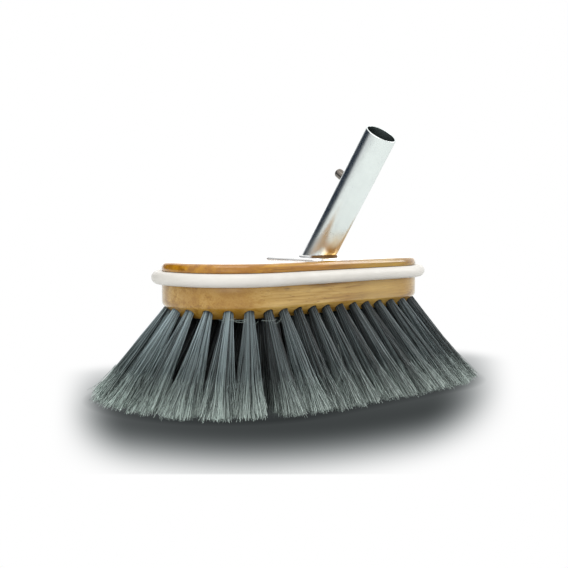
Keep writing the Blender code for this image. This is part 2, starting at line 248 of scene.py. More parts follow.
def noise(tree, where, scale, detail=3.0, roughness=0.5):
    values = {"Vector": where, "Scale": scale, "Detail": detail, "Roughness": roughness}
    return add(tree, "ShaderNodeTexNoise", values).outputs[0]


def noise_vector(tree, where, detail=1.0):
    """Three noises at once, for moving a place about."""
    return add(tree, "ShaderNodeTexNoise", {"Vector": where, "Scale": 1.0, "Detail": detail}).outputs[1]


def stretched(tree, where, scales):
    return vectors(tree, "MULTIPLY", where, scales)


def blended(tree, share, first, second, way="MIX"):
    """One colour or grey laid over another by a share."""
    made = add(tree, "ShaderNodeMix", {0: share, 6: first, 7: second}, data_type="RGBA", blend_type=way)
    return made.outputs[2]


def ramp(tree, value, stops):
    """Colours along a run of values, as (place, red, green, blue)."""
    made = add(tree, "ShaderNodeValToRGB", {0: value})
    band = made.color_ramp
    while len(band.elements) < len(stops):
        band.elements.new(1.0)
    for mark, (place, *colour) in zip(band.elements, stops):
        mark.position = place
        mark.color = (*colour, 1.0)
    return made.outputs[0]


def new_material(name, **values):
    """A material, its tree, its shader and its piece's coordinates. The values are the same all over."""
    made = bpy.data.materials.new(name)
    made.use_nodes = True
    tree = made.node_tree
    shader = tree.nodes["Principled BSDF"]
    for key, value in values.items():
        shader.inputs[key.replace("_", " ")].default_value = value
    return made, tree, shader, add(tree, "ShaderNodeTexCoord").outputs["Object"]


def paint(tree, shader, colour, roughness):
    tree.links.new(colour, shader.inputs["Base Color"])
    tree.links.new(roughness, shader.inputs["Roughness"])


def bump(tree, shader, height, strength, distance):
    normal = add(tree, "ShaderNodeBump", {"Height": height, "Strength": strength, "Distance": distance})
    tree.links.new(normal.outputs[0], shader.inputs["Normal"])


def rings_inside(node, low, high):
    """Middles of the rings that a node's tufts have between two heights, in order along the block."""
    points = np.unique(np.round([v.co for v in nodes[node].data.vertices], 6), axis=0)
    points = points[(points[:, 2] > low) & (points[:, 2] < high)]
    points = points[np.argsort(points[:, 0])]
    breaks = np.flatnonzero(np.diff(points[:, 0]) > TUFT_GAP) + 1
    return [Vector(group.mean(0)) for group in np.split(points, breaks)]


def tuft_lines(node):
    """(deep end in the block, point just outside it) on the axis of each tuft in a node."""
    inside = BLOCK_BOTTOM + BLOCK_CHAMFER
    return list(zip(rings_inside(node, inside, 0.1), rings_inside(node, 0.058, inside)))


block_section = eased(
    [
        (BLOCK_CHAMFER + 0.003, BLOCK_BOTTOM, 0),
        (BLOCK_CHAMFER, BLOCK_BOTTOM, 0.0014),
        (0.0, BLOCK_BOTTOM + BLOCK_CHAMFER, 0.0022),
        (0.0, GROOVE_MIDDLE - GROOVE_HALF, 0.0004),
        (GROOVE_DEPTH, GROOVE_MIDDLE - GROOVE_HALF, 0.0003),
        (GROOVE_DEPTH, GROOVE_MIDDLE + GROOVE_HALF, 0.0003),
        (0.0, GROOVE_MIDDLE + GROOVE_HALF, 0.0004),
        (0.0, BLOCK_TOP, BLOCK_TOP_ROUNDING),
        (BLOCK_TOP_ROUNDING + 0.001, BLOCK_TOP, 0),
    ]
)
block_edge = outline(Vector((BLOCK_LENGTH / 2, BLOCK_WIDTH / 2)), BLOCK_END_RADIUS, 28, 1)
block = make_piece("block", *skin(edge_rings(block_section, block_edge)))
bristle_nodes = sorted(name for name in nodes if "tuft" in name)
holes = []
for name in bristle_nodes:
    for deep, outside in tuft_lines(name):
        run = (outside - deep).normalized()
        holes.append(rod(deep - run * CLEARANCE, outside + run * 0.006, BRISTLE_HOLE_RADIUS, 16))
for number in (1, 2, 3, 4):
    low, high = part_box(f"plate_screw_{number}")
    x, y = (low.x + high.x) / 2, (low.y + high.y) / 2
    holes.append(rod(Vector((x, y, low.z - CLEARANCE)), Vector((x, y, 0.12)), SCREW_HOLE_RADIUS, 12))
for number in (1, 2):
    low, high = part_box(f"rail_brad_{number}")
    x, z = (low.x + high.x) / 2, (low.z + high.z) / 2
    holes.append(rod(Vector((x, low.y - CLEARANCE, z)), Vector((x, 0.06, z)), BRAD_HOLE_RADIUS, 8))
cut_away(block, holes)

HEARTWOOD_AT = -0.107
SAPWOOD_AT = 0.045
RINGS_PER_METRE = 130.0
varnished, tree, shader, place = new_material(
    "varnished hardwood", Coat_Weight=1.0, Coat_Roughness=0.06, IOR=1.5, Specular_IOR_Level=0.15
)
wander = noise_vector(tree, stretched(tree, place, (9.0, 26.0, 26.0)), 3.0)
warped = moved(tree, place, vectors(tree, "MULTIPLY", wander, (0.0, 0.007, 0.007)))
parts = split(tree, warped)
pith_across = minus(tree, plus(tree, parts[1], times(tree, parts[0], 0.06)), 0.045)
pith_up = plus(tree, plus(tree, parts[2], times(tree, parts[0], -0.045)), 0.030)
from_pith = add(tree, "ShaderNodeCombineXYZ", {0: 0.0, 1: pith_across, 2: pith_up}).outputs[0]
rings = times(tree, vectors(tree, "LENGTH", from_pith), RINGS_PER_METRE)
year = ((0.0, 0.0), (0.62, 0.32), (0.90, 1.0), (1.0, 0.05))
growth_stops = [(when, grey, grey, grey) for when, grey in year]
growth = ramp(tree, maths(tree, "FRACT", rings), growth_stops)
fibres = noise(tree, stretched(tree, warped, (26.0, 900.0, 900.0)), 1.0, 4.0, 0.6)
streaks = noise(tree, stretched(tree, place, (7.0, 150.0, 150.0)), 1.0, 3.0, 0.55)
pores = noise(tree, stretched(tree, place, (110.0, 900.0, 900.0)), 1.0, 2.0, 0.6)
pore_mask = spread(tree, pores, 0.58, 0.70)
patches = noise(tree, stretched(tree, place, (17.0, 30.0, 60.0)), 1.0, 2.0)
flecks = noise(tree, stretched(tree, place, (55.0, 240.0, 300.0)), 1.0, 2.0)
grain = plus(tree, spread(tree, fibres, 0.36, 0.64, 0.0, 0.38), spread(tree, streaks, 0.40, 0.61, 0.0, 0.58))
shades = [(0.12, 0.50, 0.325, 0.092), (0.40, 0.43, 0.262, 0.058)]
shades += [(0.66, 0.345, 0.193, 0.031), (0.95, 0.205, 0.102, 0.012)]
timber = ramp(tree, plus(tree, times(tree, growth, 0.22), grain), shades)
timber = blended(tree, spread(tree, patches, 0.44, 0.62, 0.0, 0.55), timber, (0.30, 0.155, 0.024, 1.0))
timber = blended(tree, times(tree, pore_mask, 0.50), timber, (0.13, 0.050, 0.008, 1.0))
timber = blended(tree, spread(tree, flecks, 0.68, 0.76, 0.0, 0.65), timber, (0.11, 0.050, 0.012, 1.0))
unwarped = split(tree, place)
for middle, outer, inner, most, colour in (
    (HEARTWOOD_AT, 0.030, 0.004, 0.72, (0.29, 0.140, 0.013, 1.0)),
    (SAPWOOD_AT, 0.040, 0.010, 0.40, (0.54, 0.365, 0.100, 1.0)),
):
    away = maths(tree, "ABSOLUTE", minus(tree, unwarped[0], middle))
    timber = blended(tree, spread(tree, away, outer, inner, 0.0, most), timber, colour)
above_rail = spread(tree, unwarped[2], 0.0985, 0.1005)
along_block = spread(tree, unwarped[0], -0.03, 0.05)
golden = blended(tree, along_block, (1.00, 0.80, 0.12, 1.0), (0.82, 0.75, 0.18, 1.0))
timber = blended(tree, above_rail, timber, blended(tree, 1.0, timber, golden, "MULTIPLY"))
paint(tree, shader, timber, spread(tree, fibres, 0.3, 0.7, 0.30, 0.42))
sunk_pores = times(tree, pore_mask, -0.5)
bump(tree, shader, plus(tree, sunk_pores, times(tree, fibres, 0.3)), 0.35, 0.00025)
block.data.materials.append(varnished)
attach(block, "brush")
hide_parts("wood_block")


# The rub rail: a soft white vinyl strip of D section, pressed into the groove right round the block.
# Its ends butt together in the middle of one long side.
RAIL_PROJECTION = 0.0081
RAIL_HALF = 0.0050
RAIL_BACK = -0.0017
RAIL_BUTT_HALF = 0.0003
HEAD_HOLE_RADIUS = 0.0019
HEAD_HOLE_DEPTH = 0.0022
rail_round = RAIL_PROJECTION - RAIL_HALF
rail_section = eased([(RAIL_BACK, -RAIL_HALF, 0), (rail_round, -RAIL_HALF, 0)])
for step in range(1, 18):
    turn = math.pi * (step / 18 - 0.5)
    rail_section.append(Vector((rail_round + RAIL_HALF * math.cos(turn), RAIL_HALF * math.sin(turn))))
rail_section += [Vector((rail_round, RAIL_HALF)), Vector((RAIL_BACK, RAIL_HALF))]
far_side = Vector((0.0, 1.0, 0.0))
stations = [(Vector((-RAIL_BUTT_HALF, BLOCK_WIDTH / 2, 0.0)), far_side)]
stations += block_edge
stations += [(Vector((RAIL_BUTT_HALF, BLOCK_WIDTH / 2, 0.0)), far_side)]
rail_rings = []
for point, normal in stations:
    rail_rings.append([point + normal * s.x + UP * (GROOVE_MIDDLE + s.y) for s in rail_section])
rail = make_piece("rub_rail_strip", *skin(rail_rings))
steps = [(HEAD_HOLE_RADIUS, -0.003), (HEAD_HOLE_RADIUS, HEAD_HOLE_DEPTH)]
steps += [(BRAD_HOLE_RADIUS, HEAD_HOLE_DEPTH), (BRAD_HOLE_RADIUS, 0.012)]
rail_holes = []
for number in (1, 2):
    low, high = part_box(f"rail_brad_{number}")
    crown = Vector(((low.x + high.x) / 2, BLOCK_WIDTH / 2 + RAIL_PROJECTION, GROOVE_MIDDLE))
    rail_holes.append(turned(steps, crown, -far_side, 20))
cut_away(rail, rail_holes)

vinyl, tree, shader, place = new_material("white vinyl", IOR=1.46)
cloudy = noise(tree, stretched(tree, place, (30.0, 30.0, 60.0)), 1.0, 4.0, 0.6)
scuffs = noise(tree, stretched(tree, place, (180.0, 180.0, 900.0)), 1.0, 3.0, 0.65)
clouded = spread(tree, cloudy, 0.35, 0.70)
white = blended(tree, clouded, (0.59, 0.573, 0.535, 1.0), (0.53, 0.513, 0.470, 1.0))
white = blended(tree, spread(tree, scuffs, 0.62, 0.80, 0.0, 0.35), white, (0.42, 0.40, 0.35, 1.0))
paint(tree, shader, white, spread(tree, scuffs, 0.35, 0.75, 0.33, 0.52))
waves = plus(tree, times(tree, cloudy, 0.7), times(tree, scuffs, 0.2))
bump(tree, shader, waves, 0.25, 0.0004)
rail.data.materials.append(vinyl)
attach(rail, "brush")
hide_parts("rub_rail")


# The brads: two short zinc-plated nails with flat heads, driven through the rail on either side of
# its butt joint and sunk into it.
def new_group(name, kind, takes, gives):
    """An empty group of nodes with (name, kind) inputs and outputs, and the inputs' values in it."""
    group = bpy.data.node_groups.new(name, kind)
    for way, sockets in (("INPUT", takes), ("OUTPUT", gives)):
        for socket, holds in sockets.items():
            group.interface.new_socket(socket, in_out=way, socket_type="NodeSocket" + holds)
    return group, group.nodes.new("NodeGroupInput").outputs


def fine_marks():
    """Small scratches and dulled patches on plated and chromed metal, as a mask and a height."""
    takes = {"Place": "Vector", "Fineness": "Float"}
    group, given = new_group("fine marks", "ShaderNodeTree", takes, {"Dulled": "Float", "Height": "Float"})
    scaled = vectors(group, "SCALE", given["Place"], given["Fineness"])
    rubbed = noise(group, stretched(group, scaled, (1.0, 1.0, 0.06)), 1.0, 4.0, 0.7)
    cloud = noise(group, scaled, 0.07, 3.0, 0.6)
    out = group.nodes.new("NodeGroupOutput").inputs
    dulled = times(group, spread(group, cloud, 0.38, 0.68), spread(group, rubbed, 0.30, 0.72))
    group.links.new(dulled, out["Dulled"])
    group.links.new(rubbed, out["Height"])
    return group


marks = fine_marks()
HEAT_SCALE_TOP = 0.135


def metal(name, bright, dull, smooth, rough, fineness, lean=0.0, tinted_where=None, tint=None):
    """A metal that is duller in colour and polish where it is marked, and may be tinted where a mask says,
    such as a painted reflection.
    """
    made, tree, shader, place = new_material(name, Metallic=1.0)
    along = add(tree, "ShaderNodeMapping", {"Vector": place, "Rotation": (lean, 0.0, 0.0)}).outputs[0]
    worn = add(tree, "ShaderNodeGroup", {}, node_tree=marks)
    tree.links.new(along, worn.inputs["Place"])
    worn.inputs["Fineness"].default_value = fineness
    colour = blended(tree, worn.outputs["Dulled"], (*bright, 1.0), (*dull, 1.0))
    polish = spread(tree, worn.outputs["Dulled"], 0.0, 1.0, smooth, rough)
    if tinted_where:
        colour = blended(tree, tinted_where(tree, place), colour, (*tint, 1.0))
        height = split(tree, place)[2]
        scaled = spread(tree, height, HEAT_SCALE_TOP, HEAT_SCALE_TOP - 0.021, 0.0, 0.10)
        polish = plus(tree, polish, scaled)
    paint(tree, shader, colour, polish)
    bump(tree, shader, worn.outputs["Height"], 0.12, 0.00005)
    return made


plated = metal("zinc plated steel", (0.72, 0.71, 0.68), (0.50, 0.49, 0.46), 0.18, 0.42, 2600.0)
NAIL_RADIUS = 0.0006
for number in (1, 2):
    low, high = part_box(f"rail_brad_{number}")
    head = Vector(((low.x + high.x) / 2, high.y, (low.z + high.z) / 2))
    length = high.y - low.y
    brad_profile = [(0.0004, 0.00018), (0.0009, 0.00005), (0.0013, 0.0), (0.0015, 0.00006)]
    brad_profile += [(0.0016, 0.00022), (0.0016, 0.0009), (NAIL_RADIUS, 0.0009)]
    brad_profile += [(NAIL_RADIUS, length - 0.002), (0.0002, length)]
    brad = make_piece(f"brad_{number}", *turned(brad_profile, head, -far_side, 28))
    brad.data.materials.append(plated)
    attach(brad, "brush")
    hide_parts(f"rail_brad_{number}")


# The base plate: a chromed steel pressing with round corners and eased edges, countersunk for its
# four screws. It carries the pole tube.
PLATE_MIDDLE = Vector((0.0, -0.014, 0.0))
PLATE_HALF = Vector((0.022, 0.032))
PLATE_CORNER = 0.007
PLATE_BOTTOM = 0.10735
PLATE_TOP = 0.1092
COUNTERSINK_RADIUS = 0.0041
SCREW_INSET = 0.006
screw_places = []
for x, y in ((-1, -1), (1, -1), (1, 1), (-1, 1)):
    across, along = x * (PLATE_HALF.x - SCREW_INSET), y * (PLATE_HALF.y - SCREW_INSET)
    screw_places.append(PLATE_MIDDLE + Vector((across, along, PLATE_TOP)))
plate_edge = outline(PLATE_HALF, PLATE_CORNER, 12, 0)
plate_edge = [(PLATE_MIDDLE + point, normal) for point, normal in plate_edge]
plate_section = [(0.001, PLATE_BOTTOM, 0), (0.0, PLATE_BOTTOM + 0.0001, 0.00008)]
plate_section += [(0.0015, PLATE_TOP, 0.0009), (0.0035, PLATE_TOP, 0)]
plate = make_piece("plate", *skin(edge_rings(eased(plate_section), plate_edge)))
countersink = [(SCREW_HOLE_RADIUS, -0.004), (SCREW_HOLE_RADIUS, -0.002)]
countersink += [(COUNTERSINK_RADIUS, 0.0), (COUNTERSINK_RADIUS, 0.002)]
cut_away(plate, [turned(countersink, spot, UP, 32) for spot in screw_places])
plate_chrome = metal("chromed plate", (0.93, 0.94, 0.94), (0.86, 0.87, 0.87), 0.26, 0.34, 1500.0)
plate.data.materials.append(plate_chrome)
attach(plate, "brush")
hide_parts("base_plate")


# The plate screws: countersunk wood screws with a cross recess, one in each corner of the plate,
# each stopped at its own angle.
def hand_out(group, copies, material):
    """Makes a tree's copies real, gives them their material and makes them what it puts out."""
    real = add(group, "GeometryNodeRealizeInstances", {0: copies}).outputs[0]
    finished = add(group, "GeometryNodeSetMaterial", {"Geometry": real, "Material": material}).outputs[0]
    group.links.new(finished, group.nodes.new("NodeGroupOutput").inputs[0])


def drive_screws(name, seed, material, screw, spots):
    """Puts a copy of a screw at each spot, turned at random about the upright."""
    takes = {"Spots": "Geometry", "Screw": "Object", "Turn": "Float", "Seed": "Int", "Finish": "Material"}
    group, given = new_group(name, "GeometryNodeTree", takes, {"Screws": "Geometry"})
    values = {2: 0.0, 3: given["Turn"], 8: given["Seed"]}
    turn = add(group, "FunctionNodeRandomValue", values, data_type="FLOAT")
    angles = add(group, "ShaderNodeCombineXYZ", {0: 0.0, 1: 0.0, 2: turn.outputs[1]}).outputs[0]
    shape = add(group, "GeometryNodeObjectInfo", {"Object": given["Screw"]}).outputs["Geometry"]
    values = {"Points": given["Spots"], "Instance": shape, "Rotation": angles}
    copies = add(group, "GeometryNodeInstanceOnPoints", values).outputs[0]
    hand_out(group, copies, given["Finish"])
    piece = new_object(name, bpy.data.meshes.new(name))
    piece.data.from_pydata([tuple(s) for s in spots], [], [])
    give(piece, group, {"Screw": screw, "Turn": math.tau, "Seed": seed, "Finish": material})
    settle(piece)
    return piece


def give(piece, group, values):
    """Hangs a tree of geometry nodes on a piece, with its inputs set by name."""
    made = piece.modifiers.new(group.name, "NODES")
    made.node_group = group
    for item in group.interface.items_tree:
        if item.in_out == "INPUT" and item.name in values:
            made[item.identifier] = values[item.name]


THREADS = 9
THREAD_PITCH = 0.0014
THREAD_CORE, THREAD_CREST = 0.0014, 0.0018
RECESS_ARM, RECESS_HALF = 0.0023, 0.00045
screw_profile = [(0.0003, -0.020), (0.0017, -0.0165)]
for step in range(THREADS):
    thread = -0.0162 + step * THREAD_PITCH
    screw_profile += [(THREAD_CORE, thread), (THREAD_CREST, thread + 0.0004)]
    screw_profile += [(THREAD_CORE, thread + 0.0008)]
screw_profile += [(0.0018, -0.0020), (0.0036, -0.0002), (0.0038, -0.00008), (0.0037, 0.0)]
screw = make_piece("one_screw", *turned(screw_profile, Vector(), UP, 32))
recess = []
for deep, widened in ((-0.0016, 0.45), (0.001, 1.0)):
    ring = []
    for quarter in range(4):
        turn = math.pi / 2 * quarter
        out = Vector((math.cos(turn), math.sin(turn), 0.0))
        left = UP.cross(out)
        arm = out * RECESS_ARM * widened
        ring += [arm - left * RECESS_HALF, arm + left * RECESS_HALF, out * 0.0006 + left * 0.0006]
    recess.append([p + UP * deep for p in ring])
cut_away(screw, [skin(recess)])
screws = drive_screws("plate_screws", 11, plated, screw, screw_places)
bpy.data.objects.remove(screw)
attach(screws, "brush")
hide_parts("plate_screw_1", "plate_screw_2", "plate_screw_3", "plate_screw_4")


# The pole tube: chromed steel tube of one inch, leaning back from the middle of the plate. Its foot
# is cut to the lean, its mouth is square with a rolled lip, and one hole lets the button through.
TUBE_LEAN = math.radians(34.6)
TUBE_AXIS = Vector((0.0, -math.sin(TUBE_LEAN), math.cos(TUBE_LEAN)))
BUTTON_AXIS = Vector((0.0, math.cos(TUBE_LEAN), math.sin(TUBE_LEAN)))
TUBE_START = Vector((0.0, -0.0237, BLOCK_TOP))
TUBE_LENGTH = 0.120
TUBE_RADIUS = 0.0127
TUBE_WALL = 0.00125
TUBE_SIDES = 96
BUTTON_UP_TUBE = 0.0714
BUTTON_HOLE_RADIUS = 0.0041


def tube_spoke(i):
    turn = math.tau * (i + 0.5) / TUBE_SIDES
    return ALONG_BLOCK * math.cos(turn) + TUBE_AXIS.cross(ALONG_BLOCK) * math.sin(turn)


def level_ring(radius, height):
    """Where a cylinder round the tube's axis meets a level plane."""
    ring = []
    for i in range(TUBE_SIDES):
        start = TUBE_START + tube_spoke(i) * radius
        ring.append(start + TUBE_AXIS * ((height - start.z) / TUBE_AXIS.z))
    return ring


def square_ring(radius, along):
    return [TUBE_START + TUBE_AXIS * along + tube_spoke(i) * radius for i in range(TUBE_SIDES)]


tube_foot = PLATE_TOP + 0.0003
tube_rings = [level_ring(TUBE_RADIUS, tube_foot), square_ring(TUBE_RADIUS, 0.030)]
lip_radius = TUBE_WALL / 2
for step in range(9):
    turn = math.pi * step / 8
    out = TUBE_RADIUS - lip_radius + lip_radius * math.cos(turn)
    tube_rings.append(square_ring(out, TUBE_LENGTH - lip_radius + lip_radius * math.sin(turn)))
tube_rings += [square_ring(TUBE_RADIUS - TUBE_WALL, 0.030), level_ring(TUBE_RADIUS - TUBE_WALL, tube_foot)]
tube = make_piece("pole_tube", *skin(tube_rings, closed=True))
button_middle = TUBE_START + TUBE_AXIS * BUTTON_UP_TUBE
inside, outside = button_middle + BUTTON_AXIS * 0.006, button_middle + BUTTON_AXIS * 0.02
cut_away(tube, [rod(inside, outside, BUTTON_HOLE_RADIUS, 40)])
# Amber for the painted reflection of the wood low on the tube.
PAINTED_WOOD_REFLECTION = (0.62, 0.37, 0.085)
TINTED_SIDE = (0.70, -0.70, -0.483)


def low_on_one_side(tree, place, side_from=-0.0025):
    """Where the wood's painted reflection lies on the tube: low down, most of it on one side."""
    uneven = times(tree, minus(tree, noise(tree, place, 160.0, 3.0), 0.5), 0.010)
    low_down = spread(tree, plus(tree, split(tree, place)[2], uneven), 0.1330, 0.1120)
    off_axis = vectors(tree, "SUBTRACT", place, tuple(TUBE_START))
    round_tube = vectors(tree, "DOT_PRODUCT", off_axis, TINTED_SIDE)
    one_side = spread(tree, plus(tree, round_tube, uneven), side_from, side_from + 0.008)
    return times(tree, times(tree, low_down, one_side), 0.92)


# The chrome is painted amber low on one side: a painted reflection of the wood.
one_sided_tint = {"tinted_where": low_on_one_side, "tint": PAINTED_WOOD_REFLECTION}
chrome = metal("chrome", (0.71, 0.755, 0.745), (0.64, 0.68, 0.68), 0.23, 0.29, 1500.0, -TUBE_LEAN, **one_sided_tint)
bare_steel = metal(
    "bare steel", (0.115, 0.140, 0.140), (0.060, 0.070, 0.070), 0.38, 0.6, 900.0, lean=-TUBE_LEAN
)
tube.data.materials.append(chrome)
tube.data.materials.append(bare_steel)
for face in tube.data.polygons:
    from_axis = face.center - TUBE_START
    from_axis -= TUBE_AXIS * from_axis.dot(TUBE_AXIS)
    if from_axis.length < TUBE_RADIUS - TUBE_WALL * 0.6 and abs(face.normal.dot(TUBE_AXIS)) < 0.5:
        face.material_index = 1
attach(tube, "brush")
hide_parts("socket_tube")


# The weld: one pass of fillet weld round the tube's foot, rippled as it was laid and chromed over.
WELD_LEG = 0.0018
WELD_SWELL = 0.00042
RIPPLES = 34
WELD_BROWN = (0.14, 0.075, 0.030)
foot_inner, foot_outer = TUBE_RADIUS - 0.00005, TUBE_RADIUS + WELD_LEG
weld_low = PLATE_TOP + 0.00002
weld_rings = [level_ring(foot_inner, weld_low)]
for share in (0.0, 0.2, 0.4, 0.6, 0.8, 1.0):
    inner_ring = level_ring(foot_inner, weld_low + WELD_LEG * (1 - share))
    ring = []
    swell = math.sin(math.pi * share) * WELD_SWELL
    for i, start in enumerate(inner_ring):
        ripple = 1.0 + 0.45 * math.sin(math.tau * RIPPLES * i / TUBE_SIDES)
        away = tube_spoke(i)
        outward = Vector((away.x, away.y, 0.0)).normalized()
        reach = share * (foot_outer - foot_inner) + swell * ripple
        ring.append(start + outward * reach + UP * swell * ripple)
    weld_rings.append(ring)
weld = make_piece("weld", *skin(weld_rings, closed=True))


def browner_side(tree, place):
    """The same mask reaching further round and more strongly, which browns the weld on that side."""
    return spread(tree, low_on_one_side(tree, place, -0.0085), 0.0, 0.4)


one_sided_tint = {"tinted_where": browner_side, "tint": WELD_BROWN}
weld_metal = metal("heat-browned weld", (0.84, 0.85, 0.85), (0.66, 0.66, 0.65), 0.35, 0.5, 2200.0, **one_sided_tint)
weld.data.materials.append(weld_metal)
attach(weld, "brush")
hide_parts("weld_bead")


# The snap spring: a strip of spring steel bent to a U inside the tube. One leg bears on the tube's
# front wall and the other holds the button out through its hole.
LEAF_MIDDLE = 0.0092
LEAF_HALF_THICK = 0.0003
LEAF_HALF_WIDE = 0.0050
BEND_STEPS = 28
RIVET_HOLE_RADIUS = 0.0020
leaf_line = [Vector((BUTTON_UP_TUBE + 0.009, LEAF_MIDDLE))]
bend_along = BUTTON_UP_TUBE - 0.022
for step in range(BEND_STEPS + 1):
    turn = math.pi * step / BEND_STEPS
    leaf_line.append(Vector((bend_along - LEAF_MIDDLE * math.sin(turn), LEAF_MIDDLE * math.cos(turn))))
leaf_line.append(Vector((BUTTON_UP_TUBE + 0.0045, -LEAF_MIDDLE)))
leaf_rings = []
leaf_corners = [(0.0, -LEAF_HALF_THICK, 0)]
for x, y in ((1, -1), (1, 1), (-1, 1), (-1, -1)):
    leaf_corners.append((x * LEAF_HALF_WIDE, y * LEAF_HALF_THICK, 0.0002))
leaf_corners.append((-0.001, -LEAF_HALF_THICK, 0))
leaf_edge = eased(leaf_corners, 2)
last = len(leaf_line) - 1
for i, spot in enumerate(leaf_line):
    if 0 < i < last:
        run = Vector((-spot.y, spot.x - bend_along)).normalized()
    else:
        run = (leaf_line[min(i + 1, last)] - leaf_line[max(i - 1, 0)]).normalized()
    normal = Vector((run.y, -run.x))
    ring = []
    for edge in leaf_edge:
        at = spot + normal * edge.y
        ring.append(TUBE_START + TUBE_AXIS * at.x + BUTTON_AXIS * at.y + ALONG_BLOCK * edge.x)
    leaf_rings.append(ring)
leaf = make_piece("spring_leaf", *skin(leaf_rings))
inside, outside = button_middle + BUTTON_AXIS * 0.007, button_middle + BUTTON_AXIS * 0.0115
cut_away(leaf, [rod(inside, outside, RIVET_HOLE_RADIUS, 20)])
spring_steel = metal(
    "spring steel", (0.42, 0.42, 0.43), (0.26, 0.25, 0.24), 0.26, 0.45, 1800.0, lean=-TUBE_LEAN
)
leaf.data.materials.append(spring_steel)
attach(leaf, "brush")
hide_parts("snap_spring")
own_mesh(leaf)


# The snap button: a round-nosed plated steel button, riveted to the spring and sticking out of the
# tube. It is the one part that moves.
BUTTON_RADIUS = 0.0038
NOSE_ROUND = 0.0030
RIVET_RADIUS = 0.0017
nose = TUBE_RADIUS + 0.0095
button_profile = [(0.0018, 0.0078), (0.0025, 0.0079), (0.0026, 0.0082), (0.0026, 0.0086)]
button_profile += [(RIVET_RADIUS, 0.0086), (RIVET_RADIUS, 0.0098)]
button_profile += [(BUTTON_RADIUS - 0.0002, 0.0098), (BUTTON_RADIUS, 0.0100)]
for step in range(13):
    turn = math.pi / 2 * step / 12
    across = BUTTON_RADIUS - NOSE_ROUND + NOSE_ROUND * math.cos(turn)
    button_profile.append((across, nose - NOSE_ROUND + NOSE_ROUND * math.sin(turn)))
button_profile.append((0.0005, nose + 0.00002))
button = make_piece("button", *turned(button_profile, button_middle, BUTTON_AXIS, 48))
# The button's plating is painted dark: painted shade standing in for the dark surroundings it reflects.
plate_painted_dark = metal(
    "dark plated steel", (0.20, 0.18, 0.16), (0.10, 0.09, 0.08), 0.10, 0.22, 2600.0, lean=-TUBE_LEAN
)
button.data.materials.append(plate_painted_dark)
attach(button, "button")
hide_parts("snap_button")


# The bristles: 95 tufts of soft synthetic filament, folded and stapled into the holes. Each tuft
# flares from its hole to a trimmed face, and every filament is split at its tip, which makes it pale.
GOLDEN_ANGLE = 2.399963
TUFT_VECTORS = ("root", "tip", "side", "other", "across", "away")
TUFT_NUMBERS = ("trim", "wash")


